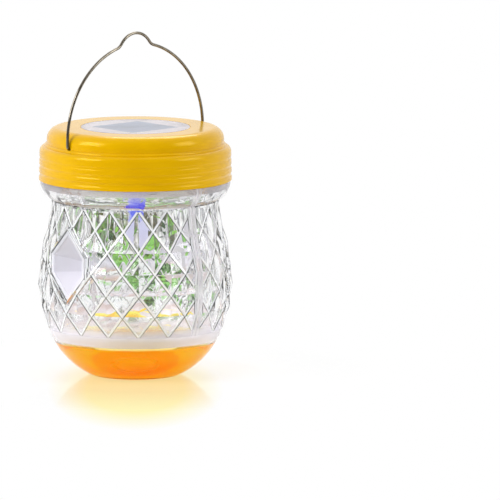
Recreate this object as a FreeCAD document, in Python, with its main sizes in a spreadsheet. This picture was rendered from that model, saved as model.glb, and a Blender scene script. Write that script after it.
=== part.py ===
import FreeCAD
import Part
import Sketcher

import math
import os
import re

# Hanging wasp trap. Millimetres, +Z up, origin under the centre of the bowl's foot.
# The two entries and the bail's pivots lie on the X axis, the jar's seams on the Y axis.

doc = FreeCAD.newDocument("WaspTrap")
sheet = doc.addObject("Spreadsheet::Sheet", "Dims")

SIZES = [
    # Jar and bowl
    ("foot_radius", 25.0, "flat foot under the bowl"),
    ("jar_wall", 1.8, "clear wall of bowl and half shells"),
    ("bowl_curve", 44.0, "radius of the bowl's side in section"),
    ("seam_inset", 4.7, "bowl's rim inside the belly's radius"),
    ("seam_height", 27.0, "joint between bowl and half shells"),
    ("tongue_height", 2.6, "bowl's tongue inside the half shells"),
    ("tongue_wall", 1.3, "thickness of that tongue"),
    ("tongue_fit", 0.15, "between tongue and half shells"),
    ("belly_radius", 54.2, "widest part of the jar, at the facets' valleys"),
    ("belly_height", 54.0, "height of the widest part"),
    ("bulge_share", 0.628, "share of the two arcs between belly and neck that the bulging one takes"),
    ("neck_inset", 6.6, "narrowest part of the jar inside the belly's radius"),
    ("neck_drop", 14.8, "narrowest part below the flange's upper face"),
    ("foot_band", 1.2, "seam up to the lowest row of the cut diamonds"),
    ("head_band", 11.6, "highest row of the cut diamonds up to the flange's upper face"),
    ("facet_rows", 6.0, "half diamonds up the wall"),
    ("facet_columns", 9.0, "diamonds across one half shell"),
    ("facet_raise", 1.3, "middle of a diamond above its edges"),
    ("band_rise", 0.3, "smooth bands above the facets' valleys"),
    ("band_height", 1.6, "smooth band at the foot and head of the facets"),
    ("seam_band", 2.2, "smooth rib beside the upright seam, on each half"),
    ("seam_rise", 1.0, "that rib above the facets' valleys"),
    ("lug_width", 3.6, "closing lugs on the upright seam, on each half"),
    ("lug_height", 1.3, "each lug"),
    ("lug_rise", 0.6, "each lug above the seam's rib"),
    ("lug_spread", 14.1, "lugs above and below the middle between them"),
    ("lug_middle", 16.5, "that middle above the belly"),
    ("flange_inset", 0.8, "flange inside the lid's radius"),
    ("flange_height", 111.8, "upper face of the flange under the lid"),
    ("flange_edge", 1.6, "upright edge of the flange"),
    ("flange_curve", 11.0, "radius of the flange's underside in section"),
    ("mouth_inset", 4.5, "outside of the neck inside the lid's radius"),
    ("mouth_rise", 15.1, "top of the neck above the flange"),
    ("bait_drop", 6.8, "surface of the bait below the seam"),
    ("bait_gap", 0.1, "between bait and bowl"),
    # Entries
    ("port_lift", 13.0, "centre of each hexagonal entry above the belly"),
    ("port_reach", 20.3, "opening's centre to its top and bottom corners"),
    ("port_half", 13.9, "opening's centre to its upright sides"),
    ("port_side", 5.6, "half of an upright side"),
    ("port_depth", 2.4, "collar's flat face inside the belly's radius"),
    ("collar_depth", 5.6, "collar from its face inwards"),
    ("collar_wall", 1.2, "collar round the opening"),
    ("funnel_fit", 0.15, "between funnel flange and opening"),
    ("funnel_recess", 0.3, "funnel's flange behind the collar's face"),
    ("funnel_flange", 1.2, "thickness of the funnel's flange"),
    ("funnel_step", 0.7, "ledge that the flange seats on"),
    ("funnel_wall", 1.1, "wall of the hexagonal taper"),
    ("throat_start", 30.0, "where the taper becomes a tube, from the axis"),
    ("throat_end", 16.0, "inner end of the tube, from the axis"),
    ("throat_drop", 3.5, "centre of the tube below the opening's centre"),
    ("throat_bore", 4.0, "radius of the tube's bore"),
    ("throat_wall", 1.2, "wall of the tube"),
    # Lid
    ("lid_rise", 30.2, "flat top of the lid above the jar's flange"),
    ("lid_radius", 55.0, "outside of the lid's rim"),
    ("lid_wall", 1.8, "moulded wall of the lid"),
    ("lid_draft", 0.4, "how much narrower the skirt is at its shoulder"),
    ("rim_gap", 0.3, "between lid rim and jar flange"),
    ("shoulder_drop", 13.6, "foot of the rounded shoulder below the lid's top"),
    ("shoulder_curve", 3.3, "radius of the shoulder in section"),
    ("tier_drop", 10.5, "foot of the upper tier below the lid's top"),
    ("tier_inset", 4.5, "outside of the upper tier inside the lid's radius"),
    ("bead_height", 1.5, "bead round the tier's foot"),
    ("bead_rise", 1.2, "how far that bead stands out"),
    ("crown_curve", 6.8, "rounding of the lid's upper edge"),
    ("crown_inner_curve", 5.0, "rounding inside the lid's upper edge"),
    ("ring_curve", 2.6, "section radius of the skirt's shallow rings"),
    ("ring_depth", 0.35, "depth of the skirt's shallow rings"),
    ("ring_pitch", 4.7, "from ring to ring"),
    ("ring_count", 3.0, "rings on the skirt"),
    ("ring_drop", 3.8, "top ring below the shoulder's foot"),
    ("gasket_thickness", 1.3, "lid gasket on the neck's rim"),
    ("gasket_wall", 0.3, "gasket short of the lid's wall"),
    # Solar module in the lid's top
    ("window_radius", 31.1, "clear round window"),
    ("window_thickness", 1.6, "window plate"),
    ("window_gap", 0.3, "dark gap round the window"),
    ("tray_thickness", 2.4, "seat under the window"),
    ("seal_thickness", 0.6, "seal ring under that seat"),
    ("seal_width", 3.0, "width of the seal ring"),
    ("ledge_radius", 26.5, "hole in the lid under the seat"),
    ("cell_size", 35.0, "side of the solar cell"),
    ("cell_thickness", 1.8, "solar cell"),
    ("cell_gap", 0.2, "round the cell in its seat"),
    # Lamp housing under the lid
    ("base_wall", 1.6, "wall and floor of the lamp housing"),
    ("base_depth", 28.0, "underside of the lamp housing below the lid's top"),
    ("flange_thickness", 2.0, "thickness of the flange that is screwed to the lid"),
    ("boss_height", 4.6, "screw bosses under the lid's top"),
    ("boss_radius", 3.2, "each screw boss"),
    ("base_room", 15.15, "housing beyond each end of the battery"),
    ("boss_count", 3.0, "screws that hold the lamp housing"),
    ("screw_radius", 1.3, "shank of a housing screw"),
    ("screw_head", 2.4, "head of a housing screw"),
    ("screw_head_height", 1.5, "height of that head"),
    ("screw_length", 5.2, "shank of a housing screw"),
    ("screw_fit", 0.12, "shank in its hole"),
    ("board_lift", 11.4, "underside of the circuit board above the housing's"),
    ("board_length", 34.0, "circuit board along X"),
    ("board_width", 32.0, "circuit board along Y"),
    ("board_edge", 6.0, "board's edge beyond the axis, on the battery's side"),
    ("board_thickness", 1.6, "circuit board"),
    ("post_radius", 2.0, "posts under the board"),
    ("post_inset", 3.5, "posts in from the board's edges"),
    ("door_post_radius", 2.3, "post that the door's screw holds in"),
    ("chip_length", 5.0, "driver chip"),
    ("chip_width", 4.0, "driver chip"),
    ("chip_height", 1.5, "driver chip"),
    ("coil_radius", 2.8, "inductor's flanges"),
    ("coil_height", 4.4, "inductor"),
    ("coil_core", 2.2, "radius of the inductor's winding"),
    ("coil_rim", 0.9, "thickness of the inductor's flanges"),
    ("battery_radius", 5.25, "AAA cell"),
    ("battery_length", 43.3, "AAA cell without its button"),
    ("button_radius", 1.9, "AAA cell's button"),
    ("button_length", 1.2, "AAA cell's button"),
    ("battery_side", 17.0, "cell's axis from the jar's axis"),
    ("battery_lift", 0.3, "cell above its door"),
    ("contact_thickness", 0.4, "contact strips"),
    ("contact_width", 8.0, "contact strips"),
    ("spring_depth", 1.8, "leaf contact, from rib to cell"),
    ("spring_gap", 0.05, "leaf contact to cell"),
    ("spring_fold", 0.52, "leaf's thickness along X at its fold"),
    ("rib_thickness", 1.4, "ribs that hold the contacts"),
    ("rib_height", 9.4, "those ribs above the floor"),
    ("bay_width", 11.4, "battery bay between its sides"),
    ("door_lip", 1.5, "door beyond the bay, all round"),
    ("door_gap", 0.15, "round the door"),
    ("door_tab", 7.0, "width of the door's screw tab"),
    ("door_tab_reach", 5.4, "how far the tab stands out"),
    ("door_screw_radius", 1.0, "shank of the door's screw"),
    ("door_screw_head", 1.9, "head of the door's screw"),
    ("door_screw_length", 5.0, "shank of the door's screw"),
    ("switch_length", 9.0, "switch body along X"),
    ("switch_width", 4.6, "switch body along Y"),
    ("switch_height", 4.8, "switch body"),
    ("switch_side", 18.0, "switch from the jar's axis"),
    ("knob_stem", 2.0, "knob's square stem"),
    ("knob_travel", 3.0, "from off to on"),
    ("knob_gap", 0.3, "round the knob's stem"),
    ("knob_length", 7.6, "knob's finger pad along X"),
    ("knob_width", 4.4, "knob's finger pad along Y"),
    ("knob_height", 1.0, "knob's finger pad"),
    ("knob_engagement", 2.3, "stem inside the switch body"),
    # Lamp and light tube
    ("led_radius", 2.5, "lamp's body"),
    ("led_collar", 2.9, "lamp's collar"),
    ("led_collar_height", 1.0, "lamp's collar"),
    ("led_reach", 8.8, "lamp below the board"),
    ("tube_radius", 5.8, "light tube at its seat"),
    ("tube_tip_radius", 3.8, "light tube at its round end"),
    ("tube_length", 40.0, "light tube below the lamp housing"),
    ("tube_collar", 7.2, "collar on the light tube's head"),
    ("tube_collar_height", 1.2, "collar on the light tube's head"),
    ("tube_fit", 0.15, "light tube in its socket"),
    ("socket_wall", 1.6, "wall of the light tube's socket"),
    ("socket_rise", 5.4, "top of that socket above the housing's underside"),
    # Bail
    ("bail_wire_radius", 0.85, "steel wire"),
    ("bail_drop", 8.3, "axis that the bail swings on below the lid's top"),
    ("bail_gap", 0.35, "between the bail's legs and the upper tier"),
    ("bail_rise", 4.3, "centre of the large arc above the pivot axis"),
    ("bail_grip", 3.9, "tip of the pivot end inside the upper tier"),
    ("bail_fit", 0.12, "pivot end in its hole"),
    ("hook_radius", 13.0, "raised arch at the top of the bail"),
    ("hook_rise", 6.0, "wire's centre at the very top, above the large arc's top"),
    ("hook_bend", 6.0, "bend between the large arc and the arch"),
    # Making
    ("overrun", 1.0, "how far a cutting shape runs past the face that it cuts"),
]

# Places and radii that follow from those sizes

FOLLOWING = {
    "seam_radius": "belly_radius - seam_inset",
    "neck_radius": "belly_radius - neck_inset",
    "neck_height": "flange_height - neck_drop",
    "facet_bottom": "seam_height + foot_band",
    "facet_top": "flange_height - head_band",
    "flange_radius": "lid_radius - flange_inset",
    "mouth_radius": "lid_radius - mouth_inset",
    "mouth_height": "flange_height + mouth_rise",
    "bait_level": "seam_height - bait_drop",
    "port_height": "belly_height + port_lift",
    "port_face": "belly_radius - port_depth",
    "port_inner": "port_face - collar_depth",
    "throat_height": "port_height - throat_drop",
    "lid_height": "flange_height + lid_rise",
    "shoulder_height": "lid_height - shoulder_drop",
    "tier_foot": "lid_height - tier_drop",
    "tier_radius": "lid_radius - tier_inset",
    "ring_first": "shoulder_height - ring_drop",
    "base_radius": "battery_length / 2 + base_room",
    "boss_circle": "base_radius + boss_radius",
    "base_flange": "boss_circle + boss_radius",
    "base_bottom": "lid_height - base_depth",
    "board_height": "base_bottom + board_lift",
    "socket_top": "base_bottom + socket_rise",
    "tube_bottom": "base_bottom - tube_length",
    "bail_pivot_height": "lid_height - bail_drop",
    "bail_bend": "bail_gap + bail_wire_radius",
    "bail_radius": "tier_radius + bail_bend",
    "bail_end": "tier_radius - bail_grip",
    "hook_height": "bail_rise + bail_radius + hook_rise",
}

for row, (alias, number, meaning) in enumerate(SIZES, start=1):
    sheet.set(f"A{row}", meaning)
    sheet.set(f"B{row}", str(number))
    sheet.setAlias(f"B{row}", alias)
doc.recompute()

ALIASES = {alias for alias, number, meaning in SIZES}
nodes = {}


def bound(text):
    """The expression with every name pointing at the sheet, directly or through what it follows."""
    def lookup(word):
        if word[0] in FOLLOWING:
            return f"({bound(FOLLOWING[word[0]])})"
        return "Dims." + word[0] if word[0] in ALIASES else word[0]

    return re.sub(r"[a-z_]+", lookup, text)


def size(text):
    """The value of an expression of aliases, as a plain number."""
    value = sheet.evalExpression(bound(text))
    return float(getattr(value, "Value", value))


def keep(label, piece):
    """Name a finished sub-part; its label becomes its file's name."""
    piece.Label = label
    nodes[label] = piece
    return piece


def place(piece, x="0", y="0", z="0", axis=None, degrees=0):
    """Put a primitive where three expressions say, after turning it about an axis."""
    if axis is not None:
        piece.Placement = FreeCAD.Placement(FreeCAD.Vector(), FreeCAD.Rotation(axis, degrees))
    piece.setExpression("Placement.Base.x", bound(x))
    piece.setExpression("Placement.Base.y", bound(y))
    piece.setExpression("Placement.Base.z", bound(z))
    return piece


X_AXIS = FreeCAD.Vector(1, 0, 0)
Y_AXIS = FreeCAD.Vector(0, 1, 0)
Z_AXIS = FreeCAD.Vector(0, 0, 1)


def block(name, x, y, z, length, width, height):
    """A box from its low corner."""
    piece = doc.addObject("Part::Box", name)
    piece.setExpression("Length", bound(length))
    piece.setExpression("Width", bound(width))
    piece.setExpression("Height", bound(height))
    return place(piece, x, y, z)


def rod(name, radius, height, x="0", y="0", z="0", axis=None, degrees=0):
    """A cylinder from the centre of its foot."""
    piece = doc.addObject("Part::Cylinder", name)
    piece.setExpression("Radius", bound(radius))
    piece.setExpression("Height", bound(height))
    return place(piece, x, y, z, axis, degrees)


def fuse(name, pieces):
    whole = doc.addObject("Part::MultiFuse", name)
    whole.Shapes = pieces
    whole.Refine = True
    return whole


def cut(name, base, tool):
    rest = doc.addObject("Part::Cut", name)
    rest.Base = base
    rest.Tool = tool
    return rest


def common(name, base, tool):
    rest = doc.addObject("Part::Common", name)
    rest.Base = base
    rest.Tool = tool
    return rest


def arc_between(first, last, radius, turn):
    """The short arc from first to last; turn is 1 for anticlockwise travel and -1 for clockwise."""
    chord = last - first
    height = math.sqrt(max(radius ** 2 - (chord.Length / 2) ** 2, 0))
    side = FreeCAD.Vector(-chord.y, chord.x, 0).normalize()
    centre = (first + last) * 0.5 + side * (height * turn)
    start, end = (first, last) if turn > 0 else (last, first)
    from_centre = [math.atan2(point.y - centre.y, point.x - centre.x) for point in (start, end)]
    return Part.ArcOfCircle(Part.Circle(centre, Z_AXIS, radius), *from_centre)


def draw_outline(sketch, corners):
    """A closed outline: corners are (x, y), or (x, y, radius, turn) where an arc leaves the corner."""
    places = [FreeCAD.Vector(size(corner[0]), size(corner[1]), 0) for corner in corners]
    edges = []
    radii = []
    for number, corner in enumerate(corners):
        first = places[number]
        last = places[(number + 1) % len(corners)]
        if len(corner) == 2:
            edge = sketch.addGeometry(Part.LineSegment(first, last), False)
            edges.append((edge, 1, 2))
        else:
            edge = sketch.addGeometry(arc_between(first, last, size(corner[2]), corner[3]), False)
            edges.append((edge, 1, 2) if corner[3] > 0 else (edge, 2, 1))
            radii.append((edge, corner[2]))
    for number, (edge, start, end) in enumerate(edges):
        following, its_start, its_end = edges[(number + 1) % len(edges)]
        sketch.addConstraint(Sketcher.Constraint("Coincident", edge, end, following, its_start))
        for kind, text, axis_line in (("DistanceX", corners[number][0], -2), ("DistanceY", corners[number][1], -1)):
            if text == "0":
                sketch.addConstraint(Sketcher.Constraint("PointOnObject", edge, start, axis_line))
                continue
            distance = size(text)
            ends = (-1, 1, edge, start) if distance > 0 else (edge, start, -1, 1)
            index = sketch.addConstraint(Sketcher.Constraint(kind, *ends, abs(distance)))
            sketch.setExpression(f"Constraints[{index}]", bound(text if distance > 0 else f"-({text})"))
    for edge, text in radii:
        index = sketch.addConstraint(Sketcher.Constraint("Radius", edge, size(text)))
        sketch.setExpression(f"Constraints[{index}]", bound(text))


def sketch_in(body, plane_role, corners):
    """An outline on one of the body's own planes."""
    sketch = body.newObject("Sketcher::SketchObject", body.Name + "_outline")
    plane = next(part for part in body.Origin.OriginFeatures if part.Role == plane_role)
    sketch.AttachmentSupport = (plane, [""])
    sketch.MapMode = "FlatFace"
    draw_outline(sketch, corners)
    return sketch


def turned(name, corners):
    """A body of revolution about Z; corners are (radius, height)."""
    body = doc.addObject("PartDesign::Body", name)
    sketch = sketch_in(body, "XZ_Plane", corners)
    turn = body.newObject("PartDesign::Revolution", name + "_turn")
    turn.Profile = sketch
    turn.ReferenceAxis = (sketch, ["V_Axis"])
    turn.Angle = 360
    return body


def extruded(name, plane_role, corners, length):
    """A body of one outline, padded evenly to both sides of its plane."""
    body = doc.addObject("PartDesign::Body", name)
    sketch = sketch_in(body, plane_role, corners)
    pad = body.newObject("PartDesign::Pad", name + "_pad")
    pad.Profile = sketch
    pad.SideType = "Symmetric"
    pad.setExpression("Length", bound(length))
    return body


# Wall of the jar in section. The swell below the belly is one arc. Above it a bulging arc meets a hollow one.

LOWER_DROP = "(belly_radius - seam_radius)"
LOWER_RISE = "(belly_height - seam_height)"
LOWER_CURVE = f"({LOWER_RISE} ^ 2 + {LOWER_DROP} ^ 2) / (2 * {LOWER_DROP})"
UPPER_DROP = "(belly_radius - neck_radius)"
UPPER_RISE = "(neck_height - belly_height)"
UPPER_TURN = f"(2 * atan({UPPER_DROP} / {UPPER_RISE}))"
UPPER_CURVES = f"({UPPER_RISE} / sin({UPPER_TURN}))"
BULGE_CURVE = f"(bulge_share * {UPPER_CURVES})"
NECK_CURVE = f"({UPPER_CURVES} - {BULGE_CURVE})"
BEND_HEIGHT = f"(belly_height + {BULGE_CURVE} * sin({UPPER_TURN}))"
BEND_RADIUS = f"(belly_radius - {BULGE_CURVE} * (1 - cos({UPPER_TURN})))"


def wall_radius(height):
    """Radius of the jar's wall, at the facets' valleys."""
    belly = size("belly_radius")
    from_belly = height - size("belly_height")
    if from_belly <= 0:
        curve = size(LOWER_CURVE)
        return belly - curve + math.sqrt(curve ** 2 - from_belly ** 2)
    if height <= size(BEND_HEIGHT):
        curve = size(BULGE_CURVE)
        return belly - curve + math.sqrt(curve ** 2 - from_belly ** 2)
    curve = size(NECK_CURVE)
    below_neck = min(size("neck_height") - height, curve)
    if below_neck <= 0:
        return size("neck_radius")
    return size("neck_radius") + curve - math.sqrt(curve ** 2 - below_neck ** 2)


def section(offset, bottom, top):
    """Corners of the wall's section from seam to neck, moved out by an offset, with a straight foot and head."""
    return [
        (f"seam_radius + ({offset})", bottom),
        (f"seam_radius + ({offset})", "seam_height", f"{LOWER_CURVE} + ({offset})", 1),
        (f"belly_radius + ({offset})", "belly_height", f"{BULGE_CURVE} + ({offset})", 1),
        (f"{BEND_RADIUS} + ({offset}) * cos({UPPER_TURN})",
         f"{BEND_HEIGHT} + ({offset}) * sin({UPPER_TURN})", f"{NECK_CURVE} - ({offset})", -1),
        (f"neck_radius + ({offset})", "neck_height"),
        (f"neck_radius + ({offset})", top),
    ]


# Clear half shells: cut diamonds between smooth bands, a collar for the entry, and a neck for the lid

def cut_diamonds():
    """One half of the jar's outside as a closed faceted solid, on the +X side."""
    rows = int(round(size("facet_rows")))
    steps = 2 * int(round(size("facet_columns")))
    rise = (size("facet_top") - size("facet_bottom")) / rows
    points = []
    for row in range(rows + 1):
        height = size("facet_bottom") + row * rise
        ring = []
        for step in range(steps + 1):
            middle_of_diamond = (row + step) % 2 == 1
            raised = size("facet_raise") if middle_of_diamond and 0 < row < rows else 0
            radius = wall_radius(height) + raised
            angle = math.radians(-90 + 180 * step / steps)
            ring.append(FreeCAD.Vector(radius * math.cos(angle), radius * math.sin(angle), height))
        for end in (0, steps):
            ring[end].x = 0
        points.append(ring)
    outlines = [points[0][::-1], points[rows]]
    outlines.append([ring[0] for ring in points] + [ring[steps] for ring in reversed(points)])
    for row in range(rows):
        for step in range(steps):
            low_left, low_right = points[row][step], points[row][step + 1]
            high_left, high_right = points[row + 1][step], points[row + 1][step + 1]
            if (row + step) % 2 == 0:
                outlines += [[low_left, low_right, high_right], [low_left, high_right, high_left]]
            else:
                outlines += [[low_left, low_right, high_left], [low_right, high_right, high_left]]
    faces = [Part.Face(Part.makePolygon(outline + outline[:1])) for outline in outlines]
    solid = Part.Solid(Part.Shell(faces))
    if solid.Volume < 0:
        solid.reverse()
    return solid


diamonds = doc.addObject("Part::Feature", "diamonds")
diamonds.Shape = cut_diamonds()

head = turned("neck_and_flange", [
    ("0", "facet_top - band_height / 2"),
    ("neck_radius + band_rise", "facet_top - band_height / 2"),
    ("neck_radius + band_rise", "facet_top + band_height / 2", "flange_curve", 1),
    ("flange_radius", "flange_height - flange_edge"),
    ("flange_radius", "flange_height"),
    ("mouth_radius", "flange_height"),
    ("mouth_radius", "mouth_height"),
    ("0", "mouth_height"),
])
skirt = rod("foot_smooth", "seam_radius + band_rise", "facet_bottom - seam_height + band_height", z="seam_height")
front_space = block("front_space", "0", "-2 * lid_radius", "0", "2 * lid_radius", "4 * lid_radius", "lid_height")
head_half = common("head_half", head, front_space)
skirt_half = common("skirt_half", skirt, front_space)


def wall_solid(name, offset):
    """The jar's whole body from seam to facets' top, moved out by an offset."""
    return turned(name, [("0", "seam_height")] + section(offset, "seam_height", "facet_top")[1:]
                  + [("0", "facet_top")])


seam_strip = block("seam_strip", "0", "-lid_radius", "0", "seam_band", "2 * lid_radius", "lid_height")
seam_rib = common("seam_rib", wall_solid("rib_solid", "seam_rise"), seam_strip)
lug_strips = fuse("lug_strips", [
    block(name, "0", "-lid_radius", f"belly_height + lug_middle {side} lug_spread - lug_height / 2",
          "lug_width", "2 * lid_radius", "lug_height")
    for name, side in (("low_lug", "-"), ("high_lug", "+"))
])
lugs = common("lugs", wall_solid("lug_solid", "seam_rise + lug_rise"), lug_strips)
hollow = turned("jar_hollow", [("0", "seam_height - overrun")]
                + section("-jar_wall", "seam_height - overrun", "facet_top")
                + [
    ("flange_radius - 2 * jar_wall", "flange_height - jar_wall - flange_edge"),
    ("mouth_radius - jar_wall", "flange_height"),
    ("mouth_radius - jar_wall", "mouth_height + overrun"),
    ("0", "mouth_height + overrun"),
])

# The entry's opening is a tall hexagon with its corners up and down. An inset narrows it evenly all round.

SLANT = "sqrt(port_half ^ 2 + (port_reach - port_side) ^ 2)"


def hexagon(half, top, side):
    """Corners of a hexagon with upright sides, seen along X."""
    return [("0", top), (f"-({half})", side), (f"-({half})", f"-({side})"),
            ("0", f"-({top})"), (half, f"-({side})"), (half, side)]


def opening_outline(inset):
    """The opening's corners, narrowed by an inset."""
    return hexagon(f"port_half - ({inset})", f"port_reach - ({inset}) * {SLANT} / port_half",
                   f"port_side - ({inset}) * ({SLANT} - port_reach + port_side) / port_half")


def hexagon_bar(name, inset, start, end):
    """A bar along X with the opening's outline."""
    body = extruded(name, "YZ_Plane", opening_outline(inset), f"({end}) - ({start})")
    body.setExpression("Placement.Base.x", bound(f"(({start}) + ({end})) / 2"))
    body.setExpression("Placement.Base.z", bound("port_height"))
    return body


FLANGE_START = "port_face - funnel_recess - funnel_flange"

collar = hexagon_bar("collar", "-collar_wall", "port_inner", "port_face")
beyond_face = hexagon_bar("beyond_face", "-collar_wall", "port_face", "2 * lid_radius")
opening = fuse("opening", [
    hexagon_bar("seat", "0", FLANGE_START, "2 * lid_radius"),
    hexagon_bar("passage", "funnel_step", "port_inner - jar_wall", "port_face"),
])
outside = fuse("outside", [diamonds, head_half, skirt_half, seam_rib, lugs])
shell_wall = cut("shell_wall", outside, hollow)
with_collar = fuse("with_collar", [shell_wall, collar])
flat_collar = cut("flat_collar", with_collar, beyond_face)
right_shell = cut("right_shell", flat_collar, opening)
keep("shell_half_right", right_shell)


def mirrored_copy(label, source):
    """The same piece on the -X side, turned half a turn about Z."""
    twin = doc.addObject("Part::Feature", label)
    doc.recompute()
    twin.Shape = source.Shape.copy()
    twin.Placement = FreeCAD.Placement(FreeCAD.Vector(), FreeCAD.Rotation(Z_AXIS, 180))
    return keep(label, twin)


mirrored_copy("shell_half_left", right_shell)

# Entry funnels: a hexagonal flange, a hexagonal taper and a short round tube

def ring_across(name, corners, along, height):
    """An outline that stands across X."""
    sketch = doc.addObject("Sketcher::SketchObject", name)
    draw_outline(sketch, corners)
    return place(sketch, along, "0", height, FreeCAD.Vector(1, 1, 1), 120)


def taper(name, inset, throat_radius):
    """From the opening's outline, narrowed by an inset, to a regular hexagon round the throat."""
    loft = doc.addObject("Part::Loft", name)
    loft.Sections = [
        ring_across(name + "_mouth", opening_outline(inset), FLANGE_START, "port_height"),
        ring_across(name + "_throat", hexagon(throat_radius, f"({throat_radius}) / cos(30)",
                                              f"({throat_radius}) / cos(30) / 2"), "throat_start", "throat_height"),
    ]
    loft.Solid = True
    loft.Ruled = True
    return loft


MOUTH_INSET = "funnel_step + funnel_fit"
funnel_body = fuse("funnel_body", [
    hexagon_bar("funnel_rim", "funnel_fit", FLANGE_START, "port_face - funnel_recess"),
    taper("funnel_outside", MOUTH_INSET, "throat_bore + throat_wall"),
    rod("throat", "throat_bore + throat_wall", "throat_start - throat_end + overrun", "throat_end", "0",
        "throat_height", Y_AXIS, 90),
])
funnel_hole = fuse("funnel_hole", [
    taper("funnel_inside", f"{MOUTH_INSET} + funnel_wall", "throat_bore"),
    hexagon_bar("funnel_mouth", f"{MOUTH_INSET} + funnel_wall", FLANGE_START, "port_face"),
    rod("throat_hole", "throat_bore", "throat_start - throat_end + 3 * overrun", "throat_end - overrun", "0",
        "throat_height", Y_AXIS, 90),
])
right_funnel = cut("right_funnel", funnel_body, funnel_hole)
keep("entry_funnel_right", right_funnel)
mirrored_copy("entry_funnel_left", right_funnel)

# Bait bowl and bait

TONGUE_RADIUS = "seam_radius - jar_wall - tongue_fit"
bowl_solid = turned("bowl_solid", [
    ("0", "0"),
    ("foot_radius", "0", "bowl_curve", 1),
    ("seam_radius", "seam_height"),
    (TONGUE_RADIUS, "seam_height"),
    (TONGUE_RADIUS, "seam_height + tongue_height"),
    ("0", "seam_height + tongue_height"),
])


def bowl_inside(name, gap, top):
    """The space inside the bowl, smaller by a gap."""
    return turned(name, [
        ("0", f"jar_wall + {gap}"),
        (f"foot_radius - {gap}", f"jar_wall + {gap}", "bowl_curve", 1),
        (f"{TONGUE_RADIUS} - tongue_wall - {gap}", f"seam_height - jar_wall + {gap}"),
        (f"{TONGUE_RADIUS} - tongue_wall - {gap}", top),
        ("0", top),
    ])


bowl_hollow = bowl_inside("bowl_hollow", "0", "seam_height + tongue_height + overrun")
keep("bottom_bowl", cut("bowl", bowl_solid, bowl_hollow))
bait_form = bowl_inside("bait_form", "bait_gap", "seam_height + tongue_height")
below_level = rod("below_level", "2 * lid_radius", "bait_level")
keep("bait_liquid", common("bait", bait_form, below_level))

# Lid: a stepped cap with a recess for the solar window, shallow rings, and bosses under its top

RECESS_RADIUS = "window_radius + window_gap"
LEDGE_TOP = "lid_height - window_thickness - tray_thickness - seal_thickness"
LID_UNDERSIDE = "lid_height - lid_wall"
BOSS_FOOT = f"{LID_UNDERSIDE} - boss_height"
LID_RIM = "flange_height + rim_gap"
INNER_STEP = "mouth_height + gasket_thickness"
SKIRT_INSIDE = "lid_radius - lid_wall"
TIER_INSIDE = "tier_radius - lid_wall"

lid_body = turned("lid_form", [
    (RECESS_RADIUS, "lid_height"),
    ("tier_radius - crown_curve", "lid_height", "crown_curve", -1),
    ("tier_radius", "lid_height - crown_curve"),
    ("tier_radius", "tier_foot + bead_height", "bead_height", -1),
    ("tier_radius + bead_rise", "tier_foot + bead_height / 4"),
    ("tier_radius + bead_rise", "tier_foot", "shoulder_curve", -1),
    ("lid_radius - lid_draft", "shoulder_height"),
    ("lid_radius", LID_RIM),
    (SKIRT_INSIDE, LID_RIM),
    (SKIRT_INSIDE, INNER_STEP),
    (TIER_INSIDE, INNER_STEP),
    (TIER_INSIDE, f"{LID_UNDERSIDE} - crown_inner_curve", "crown_inner_curve", 1),
    (f"{TIER_INSIDE} - crown_inner_curve", LID_UNDERSIDE),
    (f"{RECESS_RADIUS} + lid_wall", LID_UNDERSIDE),
    (f"{RECESS_RADIUS} + lid_wall", f"{LEDGE_TOP} - lid_wall"),
    ("ledge_radius", f"{LEDGE_TOP} - lid_wall"),
    ("ledge_radius", LEDGE_TOP),
    (RECESS_RADIUS, LEDGE_TOP),
])


def skirt_rings(body):
    """Shallow rings round the skirt: one groove, repeated down the wall."""
    sketch = body.newObject("Sketcher::SketchObject", "ring_outline")
    plane = next(part for part in body.Origin.OriginFeatures if part.Role == "XZ_Plane")
    sketch.AttachmentSupport = (plane, [""])
    sketch.MapMode = "FlatFace"
    centre = FreeCAD.Vector(size("lid_radius - lid_draft / 2 - ring_depth + ring_curve"), size("ring_first"), 0)
    circle = sketch.addGeometry(Part.Circle(centre, Z_AXIS, size("ring_curve")), False)
    bounds = (
        ("Radius", (circle,), "ring_curve"),
        ("DistanceX", (-1, 1, circle, 3), "lid_radius - lid_draft / 2 - ring_depth + ring_curve"),
        ("DistanceY", (-1, 1, circle, 3), "ring_first"),
    )
    for kind, ends, text in bounds:
        index = sketch.addConstraint(Sketcher.Constraint(kind, *ends, size(text)))
        sketch.setExpression(f"Constraints[{index}]", bound(text))
    groove = body.newObject("PartDesign::Groove", "ring_groove")
    groove.Profile = sketch
    groove.ReferenceAxis = (sketch, ["V_Axis"])
    groove.Angle = 360
    doc.recompute()
    pattern = body.newObject("PartDesign::LinearPattern", "ring_pattern")
    pattern.Originals = [groove]
    pattern.Direction = (sketch, ["V_Axis"])
    pattern.Reversed = True
    pattern.setExpression("Length", bound("ring_pitch * (ring_count - 1)"))
    pattern.Occurrences = int(round(size("ring_count")))
    body.Tip = pattern


skirt_rings(lid_body)


def boss_ring(name, radius, height, z):
    """Round bars at the housing's screw places."""
    bars = []
    for number in range(int(round(size("boss_count")))):
        angle = f"({number} * 360 / boss_count + 30)"
        bars.append(rod(f"{name}_{number}", radius, height, f"boss_circle * cos({angle})",
                        f"boss_circle * sin({angle})", z))
    return bars


pivot_holes = rod("pivot_holes", "bail_wire_radius + bail_fit", "4 * lid_radius", "-2 * lid_radius", "0",
                  "bail_pivot_height", Y_AXIS, 90)
lid_with_bosses = fuse("lid_with_bosses", [lid_body] + boss_ring("boss", "boss_radius", "boss_height", BOSS_FOOT))
lid_holes = fuse("lid_holes", [pivot_holes] + boss_ring("boss_hole", "screw_radius + screw_fit",
                                                        "boss_height", f"{BOSS_FOOT} - overrun"))
pivot_guard = rod("pivot_guard", f"{TIER_INSIDE} - overrun", "2 * lid_wall", z="bail_pivot_height - lid_wall")
keep("lid_shell", cut("lid", lid_with_bosses, cut("lid_cutter", lid_holes, pivot_guard)))

# Gasket on the neck's rim

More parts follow.
